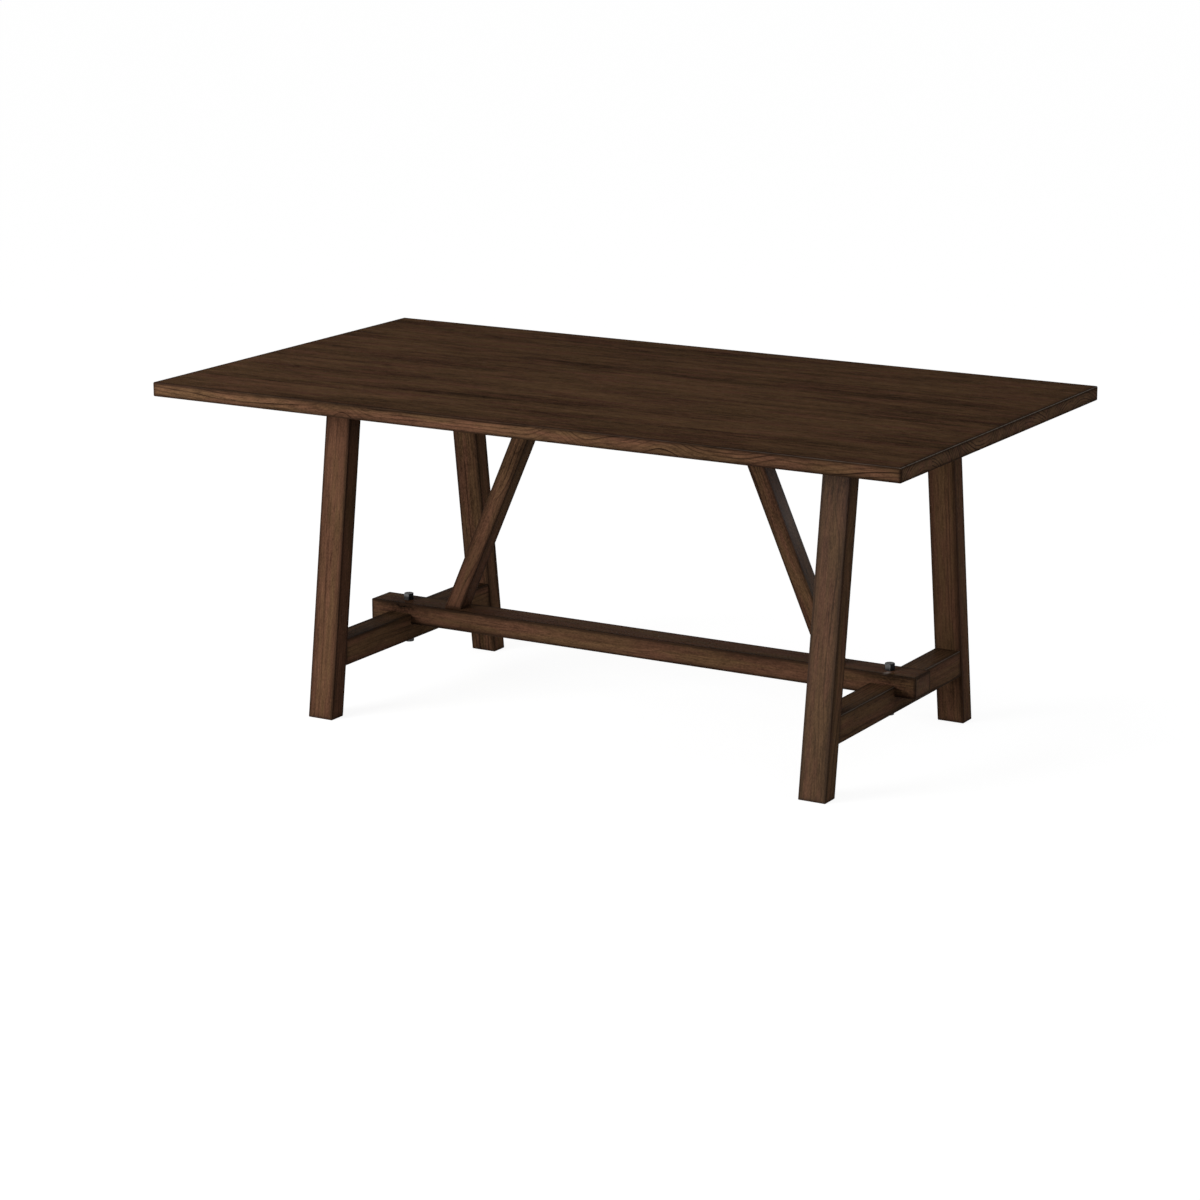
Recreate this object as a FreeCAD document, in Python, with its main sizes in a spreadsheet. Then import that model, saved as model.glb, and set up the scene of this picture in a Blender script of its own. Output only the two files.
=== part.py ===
"""Trestle dining table: a boarded top on two splayed trestles, tied by a bolted stretcher with two braces.

Frame: X along the table, Y across it with the front at minus Y, Z up from the floor. The origin lies on the
floor under the middle of the top. All sizes are in millimetres and degrees.
"""
import FreeCAD, Part
import os
import Sketcher

doc = FreeCAD.newDocument("trestle_table")

# Driving dimensions
SIZES = [
    # Top
    ("table_length", 1829.0),
    ("table_width", 1003.0),
    ("table_height", 760.0),
    ("top_thickness", 32.0),
    ("board_count", 7),
    ("top_edge_radius", 3.0),
    ("tongue_reach", 8.0),
    ("tongue_thickness", 9.0),
    ("tongue_stop", 40.0),
    # Trestles
    ("overhang_left", 304.5),
    ("overhang_right", 222.5),
    ("foot_inset", 158.0),
    ("leg_splay", 7.85),
    ("leg_width", 64.0),
    ("leg_depth", 44.4),
    ("leg_tenon_width", 38.0),
    ("leg_tenon_depth", 26.0),
    ("leg_tenon_length", 26.0),
    ("rail_width", 60.0),
    ("rail_height", 60.4),
    ("rail_underside", 113.0),
    ("rail_tenon_width", 30.0),
    ("rail_tenon_height", 36.0),
    ("rail_tenon_length", 26.0),
    ("bearer_width", 60.0),
    ("bearer_height", 42.0),
    # Members across the underside of the top taper towards their ends
    ("bevel_run", 95.0),
    ("bevel_end_height", 18.0),
    # Stretcher and braces
    ("stretcher_reach", 79.0),
    ("stretcher_width", 75.0),
    ("stretcher_height", 47.5),
    ("lap_depth", 23.4),
    ("rail_lap_share", 0.5),
    ("brace_thickness", 43.4),
    ("brace_depth", 39.6),
    ("brace_lean", 23.8),
    ("brace_inset", 135.0),
    ("brace_tenon_thickness", 20.0),
    ("brace_tenon_depth", 22.0),
    ("brace_tenon_length", 24.0),
    ("batten_width", 76.0),
    ("batten_height", 42.0),
    ("batten_inset", 106.5),
    # Fastenings
    ("bolt_diameter", 14.0),
    ("bolt_head_flats", 21.0),
    ("bolt_head_height", 15.2),
    ("bolt_projection", 1.0),
    ("nut_height", 12.8),
    ("washer_diameter", 24.0),
    ("washer_thickness", 2.5),
    ("screw_diameter", 5.0),
    ("screw_length", 44.0),
    ("screw_point", 6.0),
    ("screw_head_diameter", 10.0),
    ("screw_head_height", 3.0),
    ("screw_seat", 24.0),
    ("screw_edge_margin", 16.0),
    ("counterbore_diameter", 14.0),
    # Finish and fits
    ("timber_edge_radius", 2.0),
    ("joint_clearance", 0.2),
    ("bolt_clearance", 0.5),
    ("thread_clearance", 0.1),
    ("cut_overrun", 10.0),
]
# Places of a batten's screws, as shares of half its flat length
BATTEN_SCREW_SHARES = (0.2, 0.5, 0.93)
# A hexagon's circle through the corners, and the chamfer circle on its end, both over its flats
HEX_CORNER_SHARE = "(1 / cos(30))"
HEX_CHAMFER_SHARE = 0.95
# The flat end of a screw's head over its full diameter
SCREW_HEAD_END_SHARE = 0.6
SIDES = (("left", -1), ("right", 1))
ENDS = (("front", -1), ("back", 1))

sheet = doc.addObject("Spreadsheet::Sheet", "size")
for row, (alias, value) in enumerate(SIZES, start=1):
    cell = "B%d" % row
    sheet.set("A%d" % row, alias)
    sheet.set(cell, str(value))
    sheet.setAlias(cell, alias)
doc.recompute()

# Heights and places that several pieces share, as expressions over the sheet
BASE_MIDDLE = "((size.overhang_left - size.overhang_right) / 2)"
TRESTLE_SPACING = "(size.table_length - size.overhang_left - size.overhang_right - size.leg_width)"
TOP_UNDERSIDE = "(size.table_height - size.top_thickness)"
BEARER_UNDERSIDE = "(%s - size.bearer_height)" % TOP_UNDERSIDE
BATTEN_UNDERSIDE = "(%s - size.batten_height)" % TOP_UNDERSIDE
RAIL_TOP = "(size.rail_underside + size.rail_height)"
RAIL_MIDDLE = "(size.rail_underside + size.rail_height / 2)"
LAP_PLANE = "(%s - size.lap_depth * size.rail_lap_share)" % RAIL_TOP
STRETCHER_UNDERSIDE = "(%s - size.lap_depth)" % RAIL_TOP
STRETCHER_TOP = "(%s + size.stretcher_height)" % STRETCHER_UNDERSIDE
BOLT_HOLE_RADIUS = "size.bolt_diameter / 2 + size.bolt_clearance"
BATTEN_FLAT_HALF = "(size.table_width / 2 - size.batten_inset - size.bevel_run)"
LEG_HALF_DEPTH = "(size.leg_depth / cos(size.leg_splay) / 2)"
BRACE_HALF_DEPTH = "(size.brace_depth / cos(size.brace_lean) / 2)"


def trestle_x(side):
    """Place of a trestle's middle plane along the table."""
    return "(%s + %d * %s / 2)" % (BASE_MIDDLE, side, TRESTLE_SPACING)


def leg_y(height, offset="0"):
    """Distance of a leg's axis from the centre plane at a height, plus an offset outwards."""
    foot = "size.table_width / 2 - size.foot_inset"
    return "(%s - tan(size.leg_splay) * %s + %s)" % (foot, height, offset)


def leg_inner(height):
    """Distance of a leg's inner face from the centre plane at a height."""
    return leg_y(height, "-" + LEG_HALF_DEPTH)


def brace_x(height):
    """Distance of a brace's axis from the middle of the base at a height."""
    foot = "%s / 2 - size.brace_inset" % TRESTLE_SPACING
    return "(%s - tan(size.brace_lean) * (%s - %s))" % (foot, height, STRETCHER_TOP)


def batten_x(side):
    """Place of a batten's middle plane along the table."""
    return "(%s + %d * %s)" % (BASE_MIDDLE, side, brace_x(BATTEN_UNDERSIDE))


def number(expression):
    """The value of an expression over the sheet."""
    return float(sheet.evalExpression(expression))


# Helpers for bodies
def new_body(label, x="0", y="0", z="0"):
    """A body with its own label, placed by three expressions."""
    body = doc.addObject("PartDesign::Body", label)
    body.Label = label
    for axis, place in zip("xyz", (x, y, z)):
        body.setExpression("Placement.Base." + axis, place)
    return body


def new_sketch(body, name, plane):
    """An empty sketch on one of the body's own origin planes."""
    sketch = body.newObject("Sketcher::SketchObject", name)
    support = [f for f in body.Origin.OriginFeatures if f.Role == plane][0]
    sketch.AttachmentSupport = [(support, "")]
    sketch.MapMode = "FlatFace"
    return sketch


def place_point(sketch, curve, point, name, across, up):
    """Tie a sketch point to the sketch's origin by two expressions."""
    for kind, letter, expression in (("DistanceX", "u", across), ("DistanceY", "v", up)):
        index = sketch.addConstraint(Sketcher.Constraint(kind, -1, 1, curve, point, 1.0))
        sketch.renameConstraint(index, letter + name)
        sketch.setExpression("Constraints." + letter + name, expression)


def polygon(body, name, plane, corners):
    """A closed outline whose corners are pairs of expressions."""
    sketch = new_sketch(body, name, plane)
    count = len(corners)
    start = [FreeCAD.Vector(number(u), number(v), 0) for u, v in corners]
    for i in range(count):
        sketch.addGeometry(Part.LineSegment(start[i], start[(i + 1) % count]), False)
    for i in range(count):
        sketch.addConstraint(Sketcher.Constraint("Coincident", i, 2, (i + 1) % count, 1))
    for i, (u, v) in enumerate(corners):
        place_point(sketch, i, 1, str(i), u, v)
    doc.recompute()
    return sketch


def rectangle(body, name, plane, low, high):
    """A rectangle between two corners, each a pair of expressions."""
    corners = [low, (high[0], low[1]), high, (low[0], high[1])]
    return polygon(body, name, plane, corners)


def circles(body, name, centres, radius):
    """Equal circles on the body's floor plane, with their centres as pairs of expressions."""
    sketch = new_sketch(body, name, "XY_Plane")
    for i, (u, v) in enumerate(centres):
        middle = FreeCAD.Vector(number(u), number(v), 0)
        sketch.addGeometry(Part.Circle(middle, FreeCAD.Vector(0, 0, 1), number(radius)), False)
        index = sketch.addConstraint(Sketcher.Constraint("Radius", i, number(radius)))
        sketch.renameConstraint(index, "r%d" % i)
        sketch.setExpression("Constraints.r%d" % i, radius)
        place_point(sketch, i, 3, str(i), u, v)
    doc.recompute()
    return sketch


def pad(body, sketch, width):
    """Solid grown both ways from a sketch, by a whole width."""
    feature = body.newObject("PartDesign::Pad", sketch.Name + "_pad")
    feature.Profile = sketch
    feature.SideType = "Symmetric"
    feature.setExpression("Length", width)
    doc.recompute()
    return feature


def pocket(body, sketch, depth, both_ways=True):
    """Cut from a sketch, both ways by a whole depth or upwards only, which has to remove wood."""
    before = body.Shape.Volume
    feature = body.newObject("PartDesign::Pocket", sketch.Name + "_cut")
    feature.Profile = sketch
    if both_ways:
        feature.SideType = "Symmetric"
    else:
        feature.Reversed = True
    feature.setExpression("Length", depth)
    doc.recompute()
    if body.Shape.Volume >= before:
        raise RuntimeError("%s removes nothing" % feature.Name)
    return feature


def ease(body, feature, edges, radius):
    """Round the listed edges of a feature."""
    names = ["Edge%d" % (i + 1) for i, edge in enumerate(feature.Shape.Edges) if edges(edge)]
    fillet = body.newObject("PartDesign::Fillet", feature.Name + "_eased")
    fillet.Base = (feature, names)
    fillet.setExpression("Radius", radius)
    doc.recompute()
    return fillet


def longest(feature, count):
    """A test that keeps a feature's longest edges."""
    least = sorted(edge.Length for edge in feature.Shape.Edges)[-count]
    return lambda edge: edge.Length > least - Part.Precision.confusion()


# Screws through the members under the top
def screw_places(member, side):
    """Places of a member's screws on the table, as pairs of expressions."""
    if member == "bearer":
        outer = "(%s + size.screw_edge_margin)" % leg_y(BEARER_UNDERSIDE, LEG_HALF_DEPTH)
        x = trestle_x(side)
        half = [outer, "(%s / 2)" % leg_y(BEARER_UNDERSIDE)]
        middle = [(x, "0")]
    else:
        x = batten_x(side)
        half = ["(%s * %g)" % (BATTEN_FLAT_HALF, share) for share in BATTEN_SCREW_SHARES]
        middle = []
    return middle + [(x, "(%d * %s)" % (end, y)) for y in half for name, end in ENDS]


SCREWS = [place for member in ("bearer", "batten") for name, side in SIDES
          for place in screw_places(member, side)]

# Top boards, edge-jointed with tongues that stop short of the ends
BOARD_WIDTH = "(size.table_width / size.board_count)"
TONGUE_LENGTH = "(size.table_length - 2 * size.tongue_stop)"
PILOT_RADIUS = "size.screw_diameter / 2 + size.thread_clearance"
PILOT_DEPTH = "size.screw_length - size.screw_seat + size.joint_clearance"
board_count = int(number("size.board_count"))


def top_board(index):
    """One board: rim edges eased, a tongue at the back and a groove at the front where a board adjoins."""
    middle = "(%s * (%d - (size.board_count - 1) / 2))" % (BOARD_WIDTH, index)
    half = "%s / 2" % BOARD_WIDTH
    body = new_body("top_board_%d" % (index + 1), "0", middle, TOP_UNDERSIDE)
    section = rectangle(body, "board%d" % index, "YZ_Plane",
                        ("-" + half, "0"), (half, "size.top_thickness"))
    slab = pad(body, section, "size.table_length")
    outer_y = {0: -1, board_count - 1: 1}.get(index, 0) * number(half)

    def is_outer(edge):
        """True on the board's two ends and on a long side at the rim of the table."""
        box = edge.BoundBox
        at_end = box.XLength < Part.Precision.confusion() and box.ZLength < Part.Precision.confusion()
        off_rim = abs(box.YMin - outer_y) + abs(box.YMax - outer_y)
        at_rim = outer_y != 0 and off_rim < Part.Precision.confusion()
        return at_end or at_rim

    ease(body, slab, is_outer, "size.top_edge_radius")
    low = "(size.top_thickness - size.tongue_thickness) / 2"
    high = "(size.top_thickness + size.tongue_thickness) / 2"
    back = number(half)
    if index < board_count - 1:
        back += number("size.tongue_reach")
        tongue = rectangle(body, "tongue%d" % index, "YZ_Plane",
                           ("0", low), (half + " + size.tongue_reach", high))
        pad(body, tongue, TONGUE_LENGTH)
    if index > 0:
        floor = "-%s + size.tongue_reach + size.joint_clearance" % half
        groove = rectangle(body, "groove%d" % index, "YZ_Plane",
                           ("-%s - size.cut_overrun" % half, low + " - size.joint_clearance"),
                           (floor, high + " + size.joint_clearance"))
        pocket(body, groove, TONGUE_LENGTH + " + 2 * size.joint_clearance")
    radius = number(PILOT_RADIUS)
    met = [(x, "(%s - %s)" % (y, middle)) for x, y in SCREWS]
    met = [place for place in met if -number(half) - radius < number(place[1]) < back + radius]
    if met:
        pocket(body, circles(body, "pilots%d" % index, met, PILOT_RADIUS), PILOT_DEPTH, both_ways=False)
    return body


# Legs: slanted posts with a tenon into the bearer and a mortise for the lower rail
def leg(end_name, end, side_name, side):
    """One splayed leg, cut level at the floor and at its shoulder under the bearer."""
    body = new_body("leg_%s_%s" % (end_name, side_name), trestle_x(side))
    key = "leg_%s_%s" % (end_name, side_name)

    def slanted(low, high, half):
        """Corners of a slanted strip between two heights, a half width each side of the leg's axis."""
        return [("%d * %s" % (end, leg_y(z, sign + half)), z)
                for z, sign in ((low, "-"), (low, ""), (high, ""), (high, "-"))]

    side_view = polygon(body, key + "_post", "YZ_Plane", slanted("0", BEARER_UNDERSIDE, LEG_HALF_DEPTH))
    post = pad(body, side_view, "size.leg_width")
    along = longest(post, 4)
    ease(body, post, lambda edge: along(edge) or edge.BoundBox.ZMax < Part.Precision.confusion(),
         "size.timber_edge_radius")
    tenon_top = "(%s + size.leg_tenon_length)" % BEARER_UNDERSIDE
    tenon_foot = "(%s - size.leg_tenon_length)" % BEARER_UNDERSIDE
    tenon = polygon(body, key + "_tenon", "YZ_Plane",
                    slanted(tenon_foot, tenon_top, "size.leg_tenon_depth / 2"))
    pad(body, tenon, "size.leg_tenon_width")
    face = leg_inner(RAIL_MIDDLE)
    mouth = "%d * (%s - size.cut_overrun)" % (end, face)
    floor = "%d * (%s + size.rail_tenon_length + size.joint_clearance)" % (end, face)
    half = "(size.rail_tenon_height / 2 + size.joint_clearance)"
    mortise = rectangle(body, key + "_mortise", "YZ_Plane",
                        (mouth, "%s - %s" % (RAIL_MIDDLE, half)), (floor, "%s + %s" % (RAIL_MIDDLE, half)))
    pocket(body, mortise, "size.rail_tenon_width + 2 * size.joint_clearance")
    return body


# Lower rails: between the legs, shouldered to their slope, with a lap for the stretcher
def lower_rail(side_name, side):
    """One cross rail with a tenon at each end, a lap on top and a bolt hole through its middle."""
    body = new_body("lower_rail_%s" % side_name, trestle_x(side))
    key = "rail_%s" % side_name
    below = "size.rail_underside"
    corners = [("%d * %s" % (end, leg_inner(z)), z)
               for end, z in ((-1, below), (1, below), (1, RAIL_TOP), (-1, RAIL_TOP))]
    bar = pad(body, polygon(body, key + "_bar", "YZ_Plane", corners), "size.rail_width")
    ease(body, bar, longest(bar, 4), "size.timber_edge_radius")
    end_y = "(%s + size.rail_tenon_length)" % leg_inner(RAIL_MIDDLE)
    tenon = rectangle(body, key + "_tenons", "YZ_Plane",
                      ("-" + end_y, "%s - size.rail_tenon_height / 2" % RAIL_MIDDLE),
                      (end_y, "%s + size.rail_tenon_height / 2" % RAIL_MIDDLE))
    pad(body, tenon, "size.rail_tenon_width")
    half = "(size.stretcher_width / 2 + size.joint_clearance)"
    lap = rectangle(body, key + "_lap", "YZ_Plane",
                    ("-" + half, LAP_PLANE), (half, RAIL_TOP + " + size.cut_overrun"))
    pocket(body, lap, "size.rail_width + size.cut_overrun")
    pocket(body, circles(body, key + "_bolt_hole", [("0", "0")], BOLT_HOLE_RADIUS), RAIL_TOP, both_ways=False)
    return body


# Members across the underside of the top: bearers on the legs and battens on the braces
def cross_member(label, x, underside, width, flat_half, screws):
    """A bar under the top with tapered ends and counterbored screw holes."""
    body = new_body(label, x)
    end_y = "(%s + size.bevel_run)" % flat_half
    shoulder = "(%s - size.bevel_end_height)" % TOP_UNDERSIDE
    corners = [("-" + flat_half, underside), (flat_half, underside), (end_y, shoulder),
               (end_y, TOP_UNDERSIDE), ("-" + end_y, TOP_UNDERSIDE), ("-" + end_y, shoulder)]
    pad(body, polygon(body, label + "_bar", "YZ_Plane", corners), width)
    places = [("0", y) for screw_x, y in screws]
    hole = circles(body, label + "_holes", places, "size.screw_diameter / 2 + size.bolt_clearance")
    pocket(body, hole, TOP_UNDERSIDE + " + size.cut_overrun", both_ways=False)
    seat = circles(body, label + "_seats", places, "size.counterbore_diameter / 2")
    pocket(body, seat, TOP_UNDERSIDE + " - size.screw_seat", both_ways=False)
    return body


def bearer(side_name, side):
    """The bar on top of a trestle, with a slanted mortise for each leg."""
    label = "bearer_%s" % side_name
    screws = screw_places("bearer", side)
    flat_half = "(%s + 2 * size.screw_edge_margin)" % leg_y(BEARER_UNDERSIDE, LEG_HALF_DEPTH)
    body = cross_member(label, trestle_x(side), BEARER_UNDERSIDE, "size.bearer_width", flat_half, screws)
    low = "(%s - size.cut_overrun)" % BEARER_UNDERSIDE
    high = "(%s + size.leg_tenon_length + size.joint_clearance)" % BEARER_UNDERSIDE
    half = "(size.leg_tenon_depth / 2 + size.joint_clearance)"
    for end_name, end in ENDS:
        corners = [("%d * %s" % (end, leg_y(z, sign + half)), z)
                   for z, sign in ((low, "-"), (low, ""), (high, ""), (high, "-"))]
        mortise = polygon(body, "%s_mortise_%s" % (label, end_name), "YZ_Plane", corners)
        pocket(body, mortise, "size.leg_tenon_width + 2 * size.joint_clearance")
    return body


def batten(side_name, side):
    """The bar on top of a brace, with a slanted mortise in its middle."""
    label = "batten_%s" % side_name
    body = cross_member(label, batten_x(side), BATTEN_UNDERSIDE, "size.batten_width", BATTEN_FLAT_HALF,
                        screw_places("batten", side))
    corners = brace_strip(side, "(%s - size.cut_overrun)" % BATTEN_UNDERSIDE,
                          "(%s + size.brace_tenon_length + size.joint_clearance)" % BATTEN_UNDERSIDE,
                          "(size.brace_tenon_depth / 2 + size.joint_clearance)", brace_x(BATTEN_UNDERSIDE))
    mortise = polygon(body, label + "_mortise", "XZ_Plane", corners)
    pocket(body, mortise, "size.brace_tenon_thickness + 2 * size.joint_clearance")
    return body


# Stretcher and braces in the centre plane
def brace_strip(side, low, high, half, datum="0"):
    """Corners of a slanted strip along a brace's axis between two heights, measured from a datum."""
    return [("%d * (%s %s %s - %s)" % (side, brace_x(z), sign, half, datum), z)
            for z, sign in ((low, "-"), (low, "+"), (high, "+"), (high, "-"))]


def stretcher():
    """The long tie: lapped over both rails, drilled for the bolts and mortised for the braces."""
    body = new_body("stretcher", BASE_MIDDLE)
    section = rectangle(body, "stretcher_section", "YZ_Plane",
                        ("-size.stretcher_width / 2", STRETCHER_UNDERSIDE),
                        ("size.stretcher_width / 2", STRETCHER_TOP))
    bar = pad(body, section, TRESTLE_SPACING + " + 2 * size.stretcher_reach")
    ease(body, bar, lambda edge: True, "size.timber_edge_radius")
    half = "(size.rail_width / 2 + size.joint_clearance)"
    for side_name, side in SIDES:
        x = "(%d * %s / 2)" % (side, TRESTLE_SPACING)
        lap = rectangle(body, "stretcher_lap_%s" % side_name, "XZ_Plane",
                        ("%s - %s" % (x, half), STRETCHER_UNDERSIDE + " - size.cut_overrun"),
                        ("%s + %s" % (x, half), LAP_PLANE))
        pocket(body, lap, "size.stretcher_width + size.cut_overrun")
        floor = "(%s - size.brace_tenon_length - size.joint_clearance)" % STRETCHER_TOP
        corners = brace_strip(side, floor, "(%s + size.cut_overrun)" % STRETCHER_TOP,
                              "(size.brace_tenon_depth / 2 + size.joint_clearance)")
        mortise = polygon(body, "stretcher_mortise_%s" % side_name, "XZ_Plane", corners)
        pocket(body, mortise, "size.brace_tenon_thickness + 2 * size.joint_clearance")
    holes = [("%d * %s / 2" % (side, TRESTLE_SPACING), "0") for name, side in SIDES]
    pocket(body, circles(body, "stretcher_bolt_holes", holes, BOLT_HOLE_RADIUS),
           STRETCHER_TOP + " + size.cut_overrun", both_ways=False)
    return body


def brace(side_name, side):
    """One leaning brace, cut level at both shoulders, with a tenon at each end."""
    body = new_body("brace_%s" % side_name, BASE_MIDDLE)
    key = "brace_%s" % side_name
    side_view = polygon(body, key + "_bar", "XZ_Plane",
                        brace_strip(side, STRETCHER_TOP, BATTEN_UNDERSIDE, BRACE_HALF_DEPTH))
    bar = pad(body, side_view, "size.brace_thickness")
    ease(body, bar, longest(bar, 4), "size.timber_edge_radius")
    corners = brace_strip(side, "(%s - size.brace_tenon_length)" % STRETCHER_TOP,
                          "(%s + size.brace_tenon_length)" % BATTEN_UNDERSIDE, "size.brace_tenon_depth / 2")
    tenon = polygon(body, key + "_tenons", "XZ_Plane", corners)
    pad(body, tenon, "size.brace_tenon_thickness")
    return body


# Fastenings, made of primitives in groups of equal pieces
def primitive(kind, name, place, **sizes):
    """A Part primitive with its sizes and place as expressions."""
    item = doc.addObject("Part::" + kind, name)
    for key, expression in sizes.items():
        item.setExpression(key, expression)
    for axis, expression in zip("xyz", place):
        item.setExpression("Placement.Base." + axis, expression)
    return item


def boolean(kind, name, base, tool):
    """A cut or common of two solids."""
    item = doc.addObject("Part::" + kind, name)
    item.Base = base
    item.Tool = tool
    return item


def fuse(name, items):
    """One solid from several that meet."""
    item = doc.addObject("Part::MultiFuse", name)
    item.Shapes = items
    return item


def group(label, items):
    """Separate equal solids under one label."""
    item = doc.addObject("Part::Compound", label)
    item.Label = label
    item.Links = items
    return item


def hexagon(name, place, flats, height, chamfer_up):
    """A hexagon prism with its corners chamfered on its outer end."""
    prism = primitive("Prism", name + "_prism", place,
                      Circumradius="%s / 2 * %s" % (flats, HEX_CORNER_SHARE), Height=height)
    prism.Polygon = 6
    small = "%s / 2 * %g" % (flats, HEX_CHAMFER_SHARE)
    large = "%s / 2 * %g + %s / tan(30)" % (flats, HEX_CHAMFER_SHARE, height)
    low, high = (large, small) if chamfer_up else (small, large)
    cone = primitive("Cone", name + "_cone", place, Radius1=low, Radius2=high, Height=height)
    return boolean("Common", name + "_hexagon", prism, cone)


def crossing_bolt(side_name, side):
    """A hexagon bolt standing through stretcher and rail, head up."""
    name = "bolt_%s" % side_name
    x = trestle_x(side)
    stack = "(%s - size.rail_underside + %s)" % (
        STRETCHER_TOP, "size.washer_thickness + size.nut_height + size.bolt_projection")
    head = hexagon(name, (x, "0", STRETCHER_TOP), "size.bolt_head_flats", "size.bolt_head_height", True)
    shank = primitive("Cylinder", name + "_shank", (x, "0", "%s - %s" % (STRETCHER_TOP, stack)),
                      Radius="size.bolt_diameter / 2", Height=stack)
    return fuse(name, [head, shank])


def crossing_washer(side_name, side):
    """A flat washer under a rail."""
    name = "washer_%s" % side_name
    place = (trestle_x(side), "0", "size.rail_underside - size.washer_thickness")
    disc = primitive("Cylinder", name + "_disc", place, Radius="size.washer_diameter / 2",
                     Height="size.washer_thickness")
    hole = primitive("Cylinder", name + "_hole", place, Radius=BOLT_HOLE_RADIUS,
                     Height="size.washer_thickness")
    return boolean("Cut", name, disc, hole)


def crossing_nut(side_name, side):
    """A hexagon nut under a washer."""
    name = "nut_%s" % side_name
    place = (trestle_x(side), "0", "size.rail_underside - size.washer_thickness - size.nut_height")
    block = hexagon(name, place, "size.bolt_head_flats", "size.nut_height", False)
    hole = primitive("Cylinder", name + "_hole", place,
                     Radius="size.bolt_diameter / 2 + size.thread_clearance", Height="size.nut_height")
    return boolean("Cut", name, block, hole)


def wood_screw(index, x, y):
    """A pan-headed screw seated in its counterbore, point up in a board."""
    name = "screw_%d" % index
    seat = "(%s - size.screw_seat)" % TOP_UNDERSIDE
    plain = "(size.screw_length - size.screw_point)"
    head = primitive("Cone", name + "_head", (x, y, "%s - size.screw_head_height" % seat),
                     Radius1="size.screw_head_diameter / 2 * %g" % SCREW_HEAD_END_SHARE,
                     Radius2="size.screw_head_diameter / 2", Height="size.screw_head_height")
    shank = primitive("Cylinder", name + "_shank", (x, y, seat),
                      Radius="size.screw_diameter / 2", Height=plain)
    point = primitive("Cone", name + "_point", (x, y, "%s + %s" % (seat, plain)),
                      Radius1="size.screw_diameter / 2", Radius2="0", Height="size.screw_point")
    return fuse(name, [head, shank, point])


# The whole table
pieces = [top_board(i) for i in range(board_count)]
for side_name, side in SIDES:
    pieces += [leg(end_name, end, side_name, side) for end_name, end in ENDS]
    pieces += [lower_rail(side_name, side), bearer(side_name, side), batten(side_name, side)]
    pieces.append(brace(side_name, side))
pieces.append(stretcher())
pieces.append(group("crossing_bolts", [crossing_bolt(*each) for each in SIDES]))
pieces.append(group("crossing_washers", [crossing_washer(*each) for each in SIDES]))
pieces.append(group("crossing_nuts", [crossing_nut(*each) for each in SIDES]))
pieces.append(group("top_screws", [wood_screw(i, x, y) for i, (x, y) in enumerate(SCREWS)]))
doc.recompute()

# Every object has to be sound before anything is written
for item in doc.Objects:
    if "Invalid" in item.State or "Error" in item.State:
        raise RuntimeError("%s failed to build" % item.Label)
for piece in pieces:
    if piece.Shape.isNull() or not piece.Shape.isValid() or piece.Shape.Volume <= 0:
        raise RuntimeError("%s is not a sound solid" % piece.Label)

os.makedirs("parts", exist_ok=True)
for piece in pieces:
    piece.Shape.exportStep("parts/%s.step" % piece.Label)
    print("%-22s solids %2d volume %12.1f" % (piece.Label, len(piece.Shape.Solids), piece.Shape.Volume))
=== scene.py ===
"""Trestle dining table: dark stained timber, two splayed trestles, and a bolted stretcher with two braces.

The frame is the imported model's own: metres, X along the table, the front at minus Y, Z up from the floor.
"""

import math

import bpy
import numpy as np
from mathutils import Euler, Matrix, Vector


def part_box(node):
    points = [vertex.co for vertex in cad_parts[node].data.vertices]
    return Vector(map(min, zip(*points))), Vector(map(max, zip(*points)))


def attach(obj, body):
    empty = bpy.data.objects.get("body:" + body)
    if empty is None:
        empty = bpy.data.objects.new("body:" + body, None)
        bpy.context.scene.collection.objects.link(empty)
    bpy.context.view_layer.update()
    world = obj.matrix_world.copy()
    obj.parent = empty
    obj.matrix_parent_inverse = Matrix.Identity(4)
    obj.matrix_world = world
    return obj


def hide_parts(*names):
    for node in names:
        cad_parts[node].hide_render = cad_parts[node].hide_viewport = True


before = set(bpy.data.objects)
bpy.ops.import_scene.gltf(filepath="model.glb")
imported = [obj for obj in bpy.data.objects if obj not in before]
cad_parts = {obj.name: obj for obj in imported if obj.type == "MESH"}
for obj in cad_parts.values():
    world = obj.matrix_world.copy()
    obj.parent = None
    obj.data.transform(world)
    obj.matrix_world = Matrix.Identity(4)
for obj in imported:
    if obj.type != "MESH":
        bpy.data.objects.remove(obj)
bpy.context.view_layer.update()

# Trestle legs
# Four straight legs of stained hardwood, splayed front to back, with their feet cut level with the floor.
# Each is tenoned up into its bearer. Dark glaze was wiped on and lies in the pores and along the edges.
LEG_SPLAY = math.radians(7.85)
LEG_HALF_DEPTH = 0.0444 / math.cos(LEG_SPLAY) / 2
FOOT_AXIS = 0.3435
BEARER_UNDERSIDE = 0.686
# Axes of a timber, listed as the world axes that lie along, across and through it
UPRIGHT = Matrix(((0, 1, 0), (0, 0, 1), (1, 0, 0)))
CROSSWAYS = Matrix(((0, 0, 1), (1, 0, 0), (0, 1, 0)))
LENGTHWAYS = Matrix.Identity(3)
# Stain colours, as linear light: heartwood, redder streaks, greener streaks and late wood, then wiped glaze,
# end grain, also a painted grey sheen, and the arrises, rubbed pale by handling and lighter as a painted
# highlight
HEARTWOOD = (0.118, 0.0590, 0.0315, 1.0)
RED_STREAK = (0.1270, 0.0550, 0.0345, 1.0)
OLIVE_STREAK = (0.1085, 0.0635, 0.0290, 1.0)
LATE_WOOD = (0.030, 0.0150, 0.0085, 1.0)
GLAZE = (0.013, 0.0075, 0.0050, 1.0)
END_GRAIN_AND_SHEEN = (0.120, 0.090, 0.075, 1.0)
ARRIS_WEAR_AND_HIGHLIGHT = (0.170, 0.140, 0.118, 1.0)


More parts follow.
